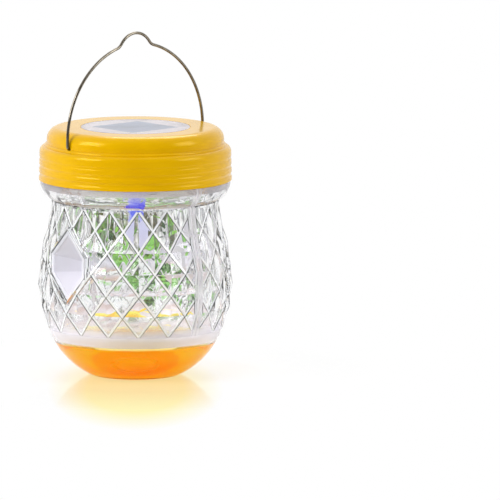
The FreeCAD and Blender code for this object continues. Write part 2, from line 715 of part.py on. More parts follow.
GASKET_RADIUS = f"{SKIRT_INSIDE} - gasket_wall"
gasket = turned("gasket", [
    ("mouth_radius - jar_wall - gasket_thickness / 2", "mouth_height"),
    (GASKET_RADIUS, "mouth_height"),
    (GASKET_RADIUS, INNER_STEP),
    ("mouth_radius - jar_wall - gasket_thickness / 2", INNER_STEP),
])
keep("lid_gasket", gasket)

# Solar module: seal, seat, cell and window

seal = turned("seal", [
    ("window_radius - seal_width", LEDGE_TOP),
    ("window_radius", LEDGE_TOP),
    ("window_radius", f"{LEDGE_TOP} + seal_thickness"),
    ("window_radius - seal_width", f"{LEDGE_TOP} + seal_thickness"),
])
keep("module_seal", seal)
TRAY_TOP = "lid_height - window_thickness"
CELL_POCKET = "(cell_size + 2 * cell_gap)"
tray_disc = rod("tray_disc", "window_radius", "tray_thickness", z=f"{TRAY_TOP} - tray_thickness")
cell_pocket = block("cell_pocket", f"-{CELL_POCKET} / 2", f"-{CELL_POCKET} / 2", f"{TRAY_TOP} - cell_thickness",
                    CELL_POCKET, CELL_POCKET, "tray_thickness")
keep("module_tray", cut("tray", tray_disc, cell_pocket))
keep("solar_cell", block("cell", "-cell_size / 2", "-cell_size / 2", f"{TRAY_TOP} - cell_thickness",
                         "cell_size", "cell_size", "cell_thickness"))
keep("solar_window", rod("window", "window_radius", "window_thickness", z=TRAY_TOP))

# Lamp housing: a round cup with a socket for the light tube, posts, contact ribs and a bay with a door

FLOOR = "(base_bottom + base_wall)"
BAY_LEFT = "(battery_length / 2 + button_length / 2 + spring_depth)"
BAY_RIGHT = "(battery_length / 2 + button_length / 2 + contact_thickness)"
BAY_LENGTH = f"({BAY_LEFT} + {BAY_RIGHT})"
BAY_LOW = "(battery_side - bay_width / 2)"
SOCKET_BORE = "(tube_radius + tube_fit)"
BOARD_LOW = "(board_edge - board_width)"
TAB_LEFT = "(boss_circle / 3)"
TAB_LOW = f"({BAY_LOW} - door_lip - door_tab_reach)"
DOOR_SCREW_X = f"({TAB_LEFT} + door_tab / 2)"
DOOR_SCREW_Y = f"({TAB_LOW} + door_tab_reach / 2)"

cup = turned("cup", [
    (SOCKET_BORE, "base_bottom"),
    ("base_radius", "base_bottom"),
    ("base_radius", f"{BOSS_FOOT} - flange_thickness"),
    ("base_flange", f"{BOSS_FOOT} - flange_thickness"),
    ("base_flange", BOSS_FOOT),
    ("base_radius - base_wall", BOSS_FOOT),
    ("base_radius - base_wall", FLOOR),
    (f"{SOCKET_BORE} + socket_wall", FLOOR),
    (f"{SOCKET_BORE} + socket_wall", "socket_top"),
    (SOCKET_BORE, "socket_top"),
])
posts = []
for number, (side, edge) in enumerate(((-1, "low"), (1, "low"), (-1, "high"), (1, "high"))):
    across = f"{side} * (board_length / 2 - post_inset)"
    along = f"{BOARD_LOW} + post_inset" if edge == "low" else "board_edge - post_inset"
    posts.append(rod(f"post_{number}", "post_radius", f"board_height - {FLOOR}", across, along, FLOOR))
ribs = [
    block("left_rib", f"-{BAY_LEFT} - rib_thickness", BAY_LOW, FLOOR, "rib_thickness", "bay_width", "rib_height"),
    block("right_rib", BAY_RIGHT, BAY_LOW, FLOOR, "rib_thickness", "bay_width", "rib_height"),
]
screw_post = rod("screw_post", "door_post_radius", "door_screw_length", DOOR_SCREW_X, DOOR_SCREW_Y, FLOOR)
cup_with_posts = fuse("cup_with_posts", [cup] + posts + ribs + [screw_post])


def door_form(name, gap, lip_thickness, plug_height):
    """Door outline: a lip below, a screw tab, and a plug that fills the bay's hole."""
    lip = block(f"{name}_lip", f"-{BAY_LEFT} - door_lip + {gap}", f"{BAY_LOW} - door_lip + {gap}", "base_bottom",
                f"{BAY_LENGTH} + 2 * (door_lip - {gap})", f"bay_width + 2 * (door_lip - {gap})", lip_thickness)
    tab = block(f"{name}_tab", f"{TAB_LEFT} + {gap}", f"{TAB_LOW} + {gap}", "base_bottom",
                f"door_tab - 2 * {gap}", "door_tab_reach + door_lip", lip_thickness)
    plug = block(f"{name}_plug", f"-{BAY_LEFT} + {gap}", f"{BAY_LOW} + {gap}", "base_bottom",
                 f"{BAY_LENGTH} - 2 * {gap}", f"bay_width - 2 * {gap}", plug_height)
    return fuse(name, [lip, tab, plug])


door_hole = door_form("door_hole", "0", "base_wall / 2", "base_wall + overrun")
KNOB_SLOT = "(knob_stem + knob_travel + 2 * knob_gap)"
knob_slot = block("knob_slot", f"-{KNOB_SLOT} / 2", "-switch_side - knob_stem / 2 - knob_gap", "base_bottom - overrun",
                  KNOB_SLOT, "knob_stem + 2 * knob_gap", "base_wall + 2 * overrun")
screw_pilot = rod("screw_pilot", "door_screw_radius + screw_fit", "door_screw_length + base_wall",
                  DOOR_SCREW_X, DOOR_SCREW_Y, "base_bottom")
flange_holes = boss_ring("flange_hole", "screw_radius + screw_fit", "2 * flange_thickness",
                         f"{BOSS_FOOT} - 1.5 * flange_thickness")
housing_cutter = fuse("housing_cutter", [door_hole, knob_slot, screw_pilot] + flange_holes)
keep("lamp_base", cut("housing", cup_with_posts, housing_cutter))

door_plate = door_form("door_plate", "door_gap", "base_wall / 2", "base_wall")
door_drill = rod("door_drill", "door_screw_radius + screw_fit", "base_wall", DOOR_SCREW_X, DOOR_SCREW_Y,
                 "base_bottom - base_wall / 4")
keep("battery_door", cut("door", door_plate, door_drill))


def screw(name, shank, head, head_height, length, x, y, seat):
    """A pan-head screw that points up, with its head under a seat."""
    return fuse(name, [
        rod(f"{name}_shank", shank, length, x, y, seat),
        rod(f"{name}_head", head, head_height, x, y, f"{seat} - {head_height}"),
    ])


keep("door_screw", screw("door_fastener", "door_screw_radius", "door_screw_head", "screw_head_height / 2",
                         "door_screw_length", DOOR_SCREW_X, DOOR_SCREW_Y, "base_bottom"))
fasteners = []
for number in range(int(round(size("boss_count")))):
    angle = f"({number} * 360 / boss_count + 30)"
    fasteners.append(screw(f"base_fastener_{number}", "screw_radius", "screw_head", "screw_head_height",
                           "screw_length", f"boss_circle * cos({angle})", f"boss_circle * sin({angle})",
                           f"{BOSS_FOOT} - flange_thickness"))
screws = doc.addObject("Part::Compound", "screws")
screws.Links = fasteners
keep("base_screws", screws)

# Battery and its contacts

CELL_AXIS = f"({FLOOR} + battery_lift + battery_radius)"
CELL_START = "(-(battery_length + button_length) / 2)"
keep("battery", fuse("aaa_cell", [
    rod("can", "battery_radius", "battery_length", CELL_START, "battery_side", CELL_AXIS, Y_AXIS, 90),
    rod("button", "button_radius", "battery_length + button_length", CELL_START, "battery_side", CELL_AXIS,
        Y_AXIS, 90),
]))
keep("contact_plate", block("plate", f"{BAY_RIGHT} - contact_thickness", "battery_side - contact_width / 2",
                            f"{FLOOR} + battery_lift", "contact_thickness", "contact_width", "rib_height - 1"))


def leaf_contact():
    """A bent strip: flat against its rib, with a raised fold that presses on the cell."""
    foot = f"({FLOOR} + battery_lift)"
    top = f"({foot} + rib_height - 1)"
    back = f"(-{BAY_LEFT})"
    nose = f"({CELL_START} - spring_gap)"
    body = extruded("leaf", "XZ_Plane", [
        (back, foot),
        (f"{back} + contact_thickness", foot),
        (f"{back} + contact_thickness", f"{foot} + contact_thickness * 3"),
        (nose, CELL_AXIS),
        (f"{back} + contact_thickness", f"{top} - contact_thickness * 3"),
        (f"{back} + contact_thickness", top),
        (back, top),
        (back, f"{top} - contact_thickness * 4"),
        (f"{nose} - spring_fold", CELL_AXIS),
        (back, f"{foot} + contact_thickness * 4"),
    ], "contact_width")
    body.setExpression("Placement.Base.y", bound("battery_side"))
    return body


keep("contact_spring", leaf_contact())

# Circuit board, driver, switch and lamp

keep("circuit_board", block("board", "-board_length / 2", BOARD_LOW, "board_height", "board_length", "board_width",
                            "board_thickness"))
BOARD_TOP = "(board_height + board_thickness)"
keep("driver_chip", block("chip", "board_length / 6", f"{BOARD_LOW} + board_width / 2", BOARD_TOP, "chip_length",
                          "chip_width", "chip_height"))
COIL_PLACE = ("-board_length / 4", f"{BOARD_LOW} + board_width / 3")
keep("inductor", fuse("coil", [
    rod("coil_foot", "coil_radius", "coil_rim", *COIL_PLACE, BOARD_TOP),
    rod("coil_winding", "coil_core", "coil_height", *COIL_PLACE, BOARD_TOP),
    rod("coil_head", "coil_radius", "coil_rim", *COIL_PLACE, f"{BOARD_TOP} + coil_height - coil_rim"),
]))
SWITCH_FOOT = "(board_height - switch_height)"
switch_block = block("switch_block", "-switch_length / 2", "-switch_side - switch_width / 2", SWITCH_FOOT,
                     "switch_length", "switch_width", "switch_height")
switch_slot = block("switch_slot", f"-{KNOB_SLOT} / 2", "-switch_side - knob_stem / 2 - knob_gap",
                    f"{SWITCH_FOOT} - overrun", KNOB_SLOT, "knob_stem + 2 * knob_gap",
                    "overrun + knob_engagement + knob_gap")
keep("switch_body", cut("switch_case", switch_block, switch_slot))
KNOB_OFF = "(-knob_travel / 2)"
KNOB_TOP = "(base_bottom - knob_gap)"
keep("switch_knob", fuse("knob", [
    block("stem", f"{KNOB_OFF} - knob_stem / 2", "-switch_side - knob_stem / 2", f"{KNOB_TOP} - knob_height / 2",
          "knob_stem", "knob_stem", f"{SWITCH_FOOT} + knob_engagement - {KNOB_TOP} + knob_height / 2"),
    block("pad", f"{KNOB_OFF} - knob_length / 2", "-switch_side - knob_width / 2", f"{KNOB_TOP} - knob_height",
          "knob_length", "knob_width", "knob_height"),
]))
LED_TIP = "(board_height - led_reach + led_radius)"
keep("uv_led", turned("led", [
    ("0", "board_height - led_reach", "led_radius", 1),
    ("led_radius", LED_TIP),
    ("led_radius", "board_height - led_collar_height"),
    ("led_collar", "board_height - led_collar_height"),
    ("led_collar", "board_height"),
    ("0", "board_height"),
]))
TUBE_TOP = "(socket_top + tube_collar_height)"
LED_POCKET = "(led_radius + tube_fit)"
keep("light_tube", turned("tube", [
    ("0", "tube_bottom", "tube_tip_radius", 1),
    ("tube_tip_radius", "tube_bottom + tube_tip_radius"),
    ("tube_radius", "base_bottom"),
    ("tube_radius", "socket_top"),
    ("tube_collar", "socket_top"),
    ("tube_collar", TUBE_TOP),
    (LED_POCKET, TUBE_TOP),
    (LED_POCKET, f"{LED_TIP} - tube_fit", "led_radius + 2 * tube_fit", -1),
    ("0", "board_height - led_reach - tube_fit * 2"),
]))

# Bail: two bent-in pivot ends, two short legs, a large arc, and a raised arch for a hook

def bail_path():
    """Centre line of the wire, in the XZ plane, from one pivot end to the other."""
    pivot = size("bail_pivot_height")
    radius = size("bail_radius")
    bend = size("bail_bend")
    arc_centre = pivot + size("bail_rise")
    hook = size("hook_radius")
    hook_bend = size("hook_bend")
    hook_centre = pivot + size("hook_height") - hook
    apart = hook_centre - arc_centre
    outer, inner = radius + hook_bend, hook + hook_bend
    bend_up = (outer ** 2 - inner ** 2 + apart ** 2) / (2 * apart)
    bend_out = math.sqrt(outer ** 2 - bend_up ** 2)
    bend_centre = FreeCAD.Vector(bend_out, 0, arc_centre + bend_up)
    big = FreeCAD.Vector(0, 0, arc_centre)
    small = FreeCAD.Vector(0, 0, hook_centre)

    def towards(start, goal, distance):
        return start + (goal - start).normalize() * distance

    off_big = towards(big, bend_centre, radius)
    off_small = towards(small, bend_centre, hook)
    between = towards(bend_centre, (off_big + off_small) * 0.5, hook_bend)
    rising = math.atan2(off_big.z - arc_centre, off_big.x) / 2
    half_way = big + FreeCAD.Vector(radius * math.cos(rising), 0, radius * math.sin(rising))
    corner = bend * (1 - math.sqrt(0.5))
    right_side = [
        ("line", FreeCAD.Vector(size("bail_end"), 0, pivot), None, FreeCAD.Vector(radius - bend, 0, pivot)),
        ("arc", FreeCAD.Vector(radius - bend, 0, pivot), FreeCAD.Vector(radius - corner, 0, pivot + corner),
         FreeCAD.Vector(radius, 0, pivot + bend)),
        ("line", FreeCAD.Vector(radius, 0, pivot + bend), None, FreeCAD.Vector(radius, 0, arc_centre)),
        ("arc", FreeCAD.Vector(radius, 0, arc_centre), half_way, off_big),
        ("arc", off_big, between, off_small),
    ]

    def opposite(point):
        return None if point is None else FreeCAD.Vector(-point.x, point.y, point.z)

    top = [("arc", off_small, FreeCAD.Vector(0, 0, hook_centre + hook), opposite(off_small))]
    left_side = [(kind, opposite(last), opposite(middle), opposite(first))
                 for kind, first, middle, last in reversed(right_side)]
    edges = []
    for kind, first, middle, last in right_side + top + left_side:
        edge = Part.LineSegment(first, last) if kind == "line" else Part.Arc(first, middle, last)
        edges.append(edge.toShape())
    return Part.Wire(edges)


spine = doc.addObject("Part::Feature", "bail_line")
spine.Shape = bail_path()
ring = doc.addObject("Part::Circle", "wire_section")
ring.setExpression("Radius", bound("bail_wire_radius"))
place(ring, "bail_end", "0", "bail_pivot_height", Y_AXIS, 90)
bail = doc.addObject("Part::Sweep", "bail")
bail.Sections = [ring]
bail.Spine = (spine, [f"Edge{number}" for number in range(1, len(spine.Shape.Edges) + 1)])
bail.Solid = True
bail.Frenet = False
keep("bail_wire", bail)

doc.recompute()

# Nothing is written unless every object is sound

for piece in doc.Objects:
    states = set(piece.State)
    if states & {"Invalid", "Error"}:
        raise RuntimeError(f"{piece.Label} failed: {piece.State}")
for label, piece in nodes.items():
    if piece.Shape.isNull() or not piece.Shape.isValid() or not piece.Shape.Solids:
        raise RuntimeError(f"{label} has no sound solid")

os.makedirs("parts", exist_ok=True)
for label, piece in sorted(nodes.items()):
    piece.Shape.exportStep(f"parts/{label}.step")
    box = piece.Shape.BoundBox
    print(f"{label}: {len(piece.Shape.Solids)} solid, {piece.Shape.Volume:.0f} mm3, "
          f"x {box.XMin:.1f}..{box.XMax:.1f}, y {box.YMin:.1f}..{box.YMax:.1f}, z {box.ZMin:.1f}..{box.ZMax:.1f}")
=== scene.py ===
import math

import bmesh
import bpy
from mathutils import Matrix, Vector


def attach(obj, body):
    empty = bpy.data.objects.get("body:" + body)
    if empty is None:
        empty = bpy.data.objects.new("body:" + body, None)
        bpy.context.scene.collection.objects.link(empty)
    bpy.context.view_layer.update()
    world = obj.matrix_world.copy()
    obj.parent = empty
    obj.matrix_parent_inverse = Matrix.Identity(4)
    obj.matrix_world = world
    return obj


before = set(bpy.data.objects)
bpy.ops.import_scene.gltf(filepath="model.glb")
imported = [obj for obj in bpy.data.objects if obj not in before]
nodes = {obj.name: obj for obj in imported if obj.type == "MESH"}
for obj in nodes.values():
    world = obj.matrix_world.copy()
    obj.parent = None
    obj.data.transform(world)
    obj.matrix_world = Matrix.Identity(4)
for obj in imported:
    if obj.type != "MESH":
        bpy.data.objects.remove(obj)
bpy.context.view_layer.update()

# Wasp trap with a solar lamp in its lid. Metres, +Z up, in the frame of the solids.

MM = 0.001
WHITE = (1, 1, 1, 1)


def linear(red, green, blue):
    """A display colour, 0 to 255, as the renderer's linear colour."""
    def one(level):
        level /= 255
        return level / 12.92 if level <= 0.04045 else ((level + 0.055) / 1.055) ** 2.4
    return (one(red), one(green), one(blue), 1.0)


def direction(azimuth, elevation=0.0):
    """The way towards a place around the part, from angles in radians. Azimuth 0 is the front, -Y."""
    return Vector((math.sin(azimuth) * math.cos(elevation), -math.cos(azimuth) * math.cos(elevation),
                   math.sin(elevation)))


# Node trees

class Nodes:
    """A short way to build the node tree of a material, or of the world."""

    def __init__(self, name, owners=bpy.data.materials, output="ShaderNodeOutputMaterial"):
        self.owner = owners.new(name)
        self.owner.use_nodes = True
        self.tree = self.owner.node_tree
        self.tree.nodes.clear()
        self.output = self.tree.nodes.new(output)

    def add(self, kind, settings=None, **inputs):
        node = self.tree.nodes.new(kind)
        for key, value in (settings or {}).items():
            setattr(node, key, value)
        for key, value in inputs.items():
            socket = node.inputs[key.replace("_", " ")] if not key.startswith("at") else node.inputs[int(key[2:])]
            if isinstance(value, bpy.types.NodeSocket):
                self.tree.links.new(value, socket)
            else:
                socket.default_value = value
        return node

    def place(self):
        return self.add("ShaderNodeTexCoord").outputs["Object"]

    def math(self, operation, first, second=0.0):
        return self.add("ShaderNodeMath", {"operation": operation}, at0=first, at1=second).outputs["Value"]

    def blend(self, share, first, second):
        return self.add("ShaderNodeMix", {"data_type": "RGBA"}, at0=share, at6=first, at7=second).outputs[2]

    def either(self, share, first, second):
        return self.add("ShaderNodeMixShader", at0=share, at1=first, at2=second).outputs["Shader"]

    def noise(self, scale, detail=3.0, roughness=0.5):
        return self.add("ShaderNodeTexNoise", Vector=self.place(), Scale=scale, Detail=detail,
                        Roughness=roughness)

    def ramp(self, value, low, high, low_at=0.3, high_at=0.7):
        ramp = self.add("ShaderNodeValToRGB", Fac=value)
        ends = ramp.color_ramp.elements
        ends[0].position, ends[0].color = low_at, low
        ends[1].position, ends[1].color = high_at, high
        return ramp.outputs["Color"]

    def spread(self, value, low, high):
        return self.add("ShaderNodeMapRange", Value=value, To_Min=low, To_Max=high).outputs["Result"]

    def bump(self, height, strength, distance):
        return self.add("ShaderNodeBump", Height=height, Strength=strength, Distance=distance).outputs["Normal"]

    def clear_in_shadow(self, shader, color):
        """The shader, but a tinted nothing to the rays that look for lamps."""
        ray = self.add("ShaderNodeLightPath")
        passing = self.add("ShaderNodeBsdfTransparent", Color=color)
        return self.either(ray.outputs["Is Shadow Ray"], shader, passing.outputs["BSDF"])

    def finish(self, shader):
        self.tree.links.new(shader, self.output.inputs["Surface"])
        return self.owner


def moulded(name, color, other, roughness=(0.25, 0.35), grain=900.0, depth=0.00001, **inputs):
    """Opaque moulded plastic or rubber: a faint drift of colour, uneven gloss and a fine skin."""
    n = Nodes(name)
    drift = n.noise(45.0)
    skin = n.noise(grain, detail=2.0)
    shader = n.add("ShaderNodeBsdfPrincipled", Base_Color=n.ramp(drift.outputs["Fac"], color, other),
                   Roughness=n.spread(drift.outputs["Fac"], *roughness),
                   Normal=n.bump(skin.outputs["Fac"], 0.3, depth), **inputs)
    return n.finish(shader.outputs["BSDF"])


def metal(name, color, other, roughness=(0.18, 0.32)):
    n = Nodes(name)
    drift = n.noise(260.0, detail=4.0)
    shader = n.add("ShaderNodeBsdfPrincipled", Base_Color=n.ramp(drift.outputs["Fac"], color, other), Metallic=1.0,
                   Roughness=n.spread(drift.outputs["Fac"], *roughness))
    return n.finish(shader.outputs["BSDF"])


LAST_BOUNCE = 6.5
TRAPPED_LIGHT = linear(214, 214, 218)
DENTS_EVERY = 95.0
HAZE = linear(236, 233, 238)


def clear_plastic(name, color, other, roughness=0.02, ior=1.49, wave=0.00002, wave_scale=60.0, milk=0.0,
                  dents=0.0, hazy_band=None, **inputs):
    """Clear moulded plastic: it bends the view, and lets lamps light what is inside.

    Milk is the share of haze all over. Dents is the depth of small cut hollows that break up the view.
    A hazy band is a function that adds nodes for one more share of haze, by place.
    Light that has bounced long inside the walls is given a pale grey, where it would otherwise end black.
    """
    n = Nodes(name)
    flow = n.noise(wave_scale, detail=1.0)
    normal = n.bump(flow.outputs["Fac"], 0.4, wave)
    if dents:
        cells = n.add("ShaderNodeTexVoronoi", Vector=n.place(), Scale=DENTS_EVERY)
        normal = n.add("ShaderNodeBump", Height=cells.outputs["Distance"], Strength=0.8, Distance=dents,
                       Normal=normal).outputs["Normal"]
    shader = n.add("ShaderNodeBsdfPrincipled", Base_Color=n.ramp(flow.outputs["Fac"], color, other),
                   Roughness=roughness, IOR=ior, Transmission_Weight=1.0 - milk, Normal=normal,
                   **inputs).outputs["BSDF"]
    if hazy_band:
        haze = n.add("ShaderNodeBsdfPrincipled", Base_Color=HAZE, Roughness=0.1, Transmission_Weight=0.3)
        shader = n.either(hazy_band(n), shader, haze.outputs["BSDF"])
    trapped = n.add("ShaderNodeEmission", Color=TRAPPED_LIGHT, Strength=1.0)
    bounces = n.add("ShaderNodeLightPath").outputs["Ray Depth"]
    return n.finish(n.either(n.math("GREATER_THAN", bounces, LAST_BOUNCE), n.clear_in_shadow(shader, color),
                             trapped.outputs["Emission"]))


SEAM_HAZE = 0.65
SEAM_HALF = 2.4 * MM
FLANGE_HAZE = 0.38
FLANGE_FOOT = 105 * MM
FLANGE_FULL = 109 * MM
FOOT_HAZE = 0.5
FOOT_FULL = 30 * MM
FOOT_TOP = 39 * MM


def seam_and_flange(n):
    """Whiter plastic in the ribs of the two upright seams, in the flange under the lid and at the foot."""
    place = n.add("ShaderNodeSeparateXYZ", Vector=n.place())
    aside = n.math("ABSOLUTE", place.outputs["X"])
    share = n.add("ShaderNodeMapRange", Value=aside, From_Max=SEAM_HALF)
    ribs = n.add("ShaderNodeValToRGB", Fac=share.outputs["Result"])
    stops = ribs.color_ramp.elements
    stops[0].position, stops[0].color = 0.12, (0.1, 0.1, 0.1, 1)
    stops[1].position, stops[1].color = 1.0, (0, 0, 0, 1)
    for position in (0.3, 0.85):
        stop = stops.new(position)
        stop.color = (SEAM_HAZE, SEAM_HAZE, SEAM_HAZE, 1)
    flange = n.add("ShaderNodeMapRange", Value=place.outputs["Z"], From_Min=FLANGE_FOOT, From_Max=FLANGE_FULL,
                   To_Min=0.0, To_Max=FLANGE_HAZE)
    foot = n.add("ShaderNodeMapRange", Value=place.outputs["Z"], From_Min=FOOT_FULL, From_Max=FOOT_TOP,
                 To_Min=FOOT_HAZE, To_Max=0.0)
    ends = n.math("MAXIMUM", foot.outputs["Result"], flange.outputs["Result"])
    return n.math("MAXIMUM", ribs.outputs["Color"], ends)


RIM_HAZE = 0.75
RIM_FOOT = 20.8 * MM


def rim(n):
    """Whiter plastic in the bowl's rim, above the bait."""
    place = n.add("ShaderNodeSeparateXYZ", Vector=n.place())
    return n.add("ShaderNodeMapRange", Value=place.outputs["Z"], From_Min=RIM_FOOT, From_Max=RIM_FOOT + MM / 2,
                 To_Min=0.0, To_Max=RIM_HAZE).outputs["Result"]


BAIT_DARK = 3 * MM
BAIT_PALE = 19 * MM
BAIT_LAYERS = 5
BAIT_IOR = 1.34
BAIT_HELD = (0.8, 0.93, 0.0, 1)
BAIT_DENSITY = 300.0
BAIT_PAINTED_GLOW = (1.0, 0.098, 0.0, 1)
BAIT_PAINTED_GLOW_STRENGTH = 60.0


def bait_material():
    """Syrup: thin layers look yellow and deep ones orange; its surface tint is deeper orange towards its foot and
    paler towards its top, and its volume gives off a painted orange glow.
    """
    n = Nodes("bait")
    place = n.add("ShaderNodeMapping", Vector=n.place(), Scale=(1, 1, BAIT_LAYERS))
    height = n.add("ShaderNodeSeparateXYZ", Vector=place.outputs["Vector"]).outputs["Z"]
    streaks = n.add("ShaderNodeTexNoise", Vector=place.outputs["Vector"], Scale=26.0, Detail=1.0)
    share = n.add("ShaderNodeMapRange", Value=height, From_Min=BAIT_LAYERS * BAIT_DARK,
                  From_Max=BAIT_LAYERS * BAIT_PALE, To_Min=-0.25, To_Max=0.75)
    mixed_share = n.math("ADD", share.outputs["Result"], streaks.outputs["Fac"])
    tint = n.ramp(mixed_share, linear(255, 176, 40), linear(255, 250, 120), 0.3, 1.0)
    surface = n.add("ShaderNodeBsdfPrincipled", Base_Color=tint, Roughness=0.0, IOR=BAIT_IOR,
                    Transmission_Weight=1.0, Specular_Tint=linear(255, 170, 20))
    held = n.add("ShaderNodeVolumeAbsorption", Color=BAIT_HELD, Density=BAIT_DENSITY)
    # Painted glow: the bait's volume gives off orange light of its own, standing for light scattered inside it
    spread = n.add("ShaderNodeEmission", Color=BAIT_PAINTED_GLOW, Strength=BAIT_PAINTED_GLOW_STRENGTH)
    body = n.add("ShaderNodeAddShader", at0=held.outputs["Volume"], at1=spread.outputs["Emission"])
    n.tree.links.new(body.outputs["Shader"], n.output.inputs["Volume"])
    return n.finish(n.clear_in_shadow(surface.outputs["BSDF"], linear(255, 200, 90)))


def lit_tube_material():
    """The light guide: violet blue at its head, blue patches below, and pale towards its tip."""
    n = Nodes("light_tube")
    height = n.add("ShaderNodeSeparateXYZ", Vector=n.place()).outputs["Z"]
    share = n.add("ShaderNodeMapRange", Value=height, From_Min=TUBE_TIP, From_Max=TUBE_TIP + LIT_LENGTH)
    fade = n.add("ShaderNodeValToRGB", Fac=share.outputs["Result"])
    stops = fade.color_ramp.elements
    stops[0].position, stops[0].color = 0.0, linear(232, 226, 246)
    stops[1].position, stops[1].color = 1.0, linear(66, 56, 238)
    for position, color in ((0.35, linear(222, 222, 252)), (0.72, linear(170, 176, 252)),
                            (0.86, linear(120, 124, 250))):
        stop = stops.new(position)
        stop.color = color
    patches = n.noise(170.0, detail=1.0)
    spot = n.add("ShaderNodeMapRange", Value=patches.outputs["Fac"], From_Min=0.5, From_Max=0.62)
    amount = n.add("ShaderNodeMapRange", Value=share.outputs["Result"], From_Min=0.35, From_Max=0.6)
    strength = n.math("MULTIPLY", spot.outputs["Result"], amount.outputs["Result"])
    color = n.blend(strength, fade.outputs["Color"], linear(72, 92, 246))
    glow = n.add("ShaderNodeEmission", Color=color, Strength=TUBE_GLOW)
    skin = n.add("ShaderNodeBsdfPrincipled", Base_Color=linear(240, 240, 252), Roughness=0.03,
                 Transmission_Weight=1.0)
    return n.finish(n.either(TUBE_LIT_SHARE, skin.outputs["BSDF"], glow.outputs["Emission"]))


def lamp_material():
    n = Nodes("lamp_glow")
    glow = n.add("ShaderNodeEmission", Color=linear(70, 80, 255), Strength=6.0)
    return n.finish(glow.outputs["Emission"])


def dress(material, *names):
    for name in names:
        slots = nodes[name].data.materials
        slots.clear()
        slots.append(material)


tube = nodes["light_tube"]
TUBE_TIP = min((tube.matrix_world @ vertex.co).z for vertex in tube.data.vertices)
LIT_LENGTH = 28 * MM
TUBE_GLOW = 0.95
TUBE_LIT_SHARE = 0.72

CLEAR = clear_plastic("clear_shell", linear(254, 254, 254), linear(250, 251, 252), dents=0.001,
                      hazy_band=seam_and_flange)
BOWL = clear_plastic("clear_bowl", linear(254, 254, 253), linear(250, 250, 249), ior=1.3,
                     hazy_band=rim)
FUNNEL = clear_plastic("clear_funnel", linear(248, 247, 252), linear(243, 242, 248), roughness=0.25, milk=0.55)
BAIT = bait_material()
YELLOW = moulded("lid_plastic", linear(232, 180, 0), linear(226, 172, 0), roughness=(0.15, 0.22),
                 Specular_IOR_Level=0.4, Specular_Tint=linear(255, 226, 70), Coat_Weight=0.08,
                 Coat_Roughness=0.03)
WINDOW = clear_plastic("window", linear(250, 250, 255), linear(246, 246, 252))
TRAY = moulded("tray", linear(232, 224, 220), linear(224, 216, 214))
CELL = moulded("solar_cell", linear(150, 166, 190), linear(134, 150, 176), roughness=(0.15, 0.25))
TUBE = lit_tube_material()
WIRE = metal("wire", linear(146, 138, 124), linear(104, 98, 86), roughness=(0.1, 0.2))
STEEL = metal("steel", linear(190, 190, 190), linear(165, 165, 168))
HOUSING = moulded("housing", linear(238, 238, 234), linear(230, 230, 226))
RUBBER = moulded("rubber", linear(60, 60, 60), linear(48, 48, 48), roughness=(0.6, 0.75))
GASKET = moulded("gasket", linear(225, 222, 214), linear(216, 212, 204), roughness=(0.5, 0.6))
BOARD = moulded("board", linear(40, 105, 62), linear(34, 92, 54), roughness=(0.35, 0.5))
DARK = moulded("dark_plastic", linear(38, 38, 40), linear(30, 30, 32), roughness=(0.45, 0.6))
COPPER = metal("winding", linear(176, 104, 62), linear(140, 80, 48))
SLEEVE = moulded("battery_sleeve", linear(60, 130, 84), linear(52, 116, 74), roughness=(0.3, 0.4))

LAMP = lamp_material()

dress(CLEAR, "shell_half_left", "shell_half_right")
dress(BOWL, "bottom_bowl")
dress(FUNNEL, "entry_funnel_left", "entry_funnel_right")
dress(BAIT, "bait_liquid")
dress(YELLOW, "lid_shell")
dress(WINDOW, "solar_window")
dress(TRAY, "module_tray")
dress(CELL, "solar_cell")
dress(TUBE, "light_tube")
dress(WIRE, "bail_wire")
dress(STEEL, "base_screws", "door_screw", "contact_spring", "contact_plate", "switch_body")
dress(HOUSING, "lamp_base", "battery_door")
dress(RUBBER, "module_seal")
dress(GASKET, "lid_gasket")
dress(BOARD, "circuit_board")
dress(DARK, "driver_chip", "switch_knob")
dress(COPPER, "inductor")
dress(SLEEVE, "battery")
dress(LAMP, "uv_led")

# The bait meets the bowl's wall without air between, so its skin is set into the wall

swell = nodes["bait_liquid"].modifiers.new("meets_wall", "DISPLACE")
swell.mid_level = 0.0
swell.strength = 1.0 * MM

# Grooves between the cut diamonds, with painted light: a thin raised bar of whitish plastic, a painted highlight,
# lies in every hollow edge of the half shells, and a dark strip of painted shade lies beside it on its lower flank

GROOVE_WIDTH = 1.2 * MM
GROOVE_RISE = 0.25 * MM
SHADE_WIDTH = 0.5 * MM
SHORTEST_EDGE = 3 * MM
SHARP = math.radians(2)


def hollow_edges(node):
    """Both ends of each long hollow edge on a shell's outside, with the direction away from the jar's axis."""
    mesh = bmesh.new()
    mesh.from_mesh(node.data)
    bmesh.ops.remove_doubles(mesh, verts=mesh.verts, dist=0.01 * MM)
    found = []
    for edge in mesh.edges:
        if len(edge.link_faces) != 2 or edge.calc_length() < SHORTEST_EDGE:
            continue
        if edge.calc_face_angle_signed() > -SHARP:
            continue
        first, last = (node.matrix_world @ end.co for end in edge.verts)
        out = ((first + last) / 2) * Vector((1, 1, 0))
        facing = sum(face.normal.dot(out) for face in edge.link_faces)
        if facing > 0 and abs(last.z - first.z) > SHORTEST_EDGE:
            found.append((first, last, out.normalized()))
    mesh.free()
    return found


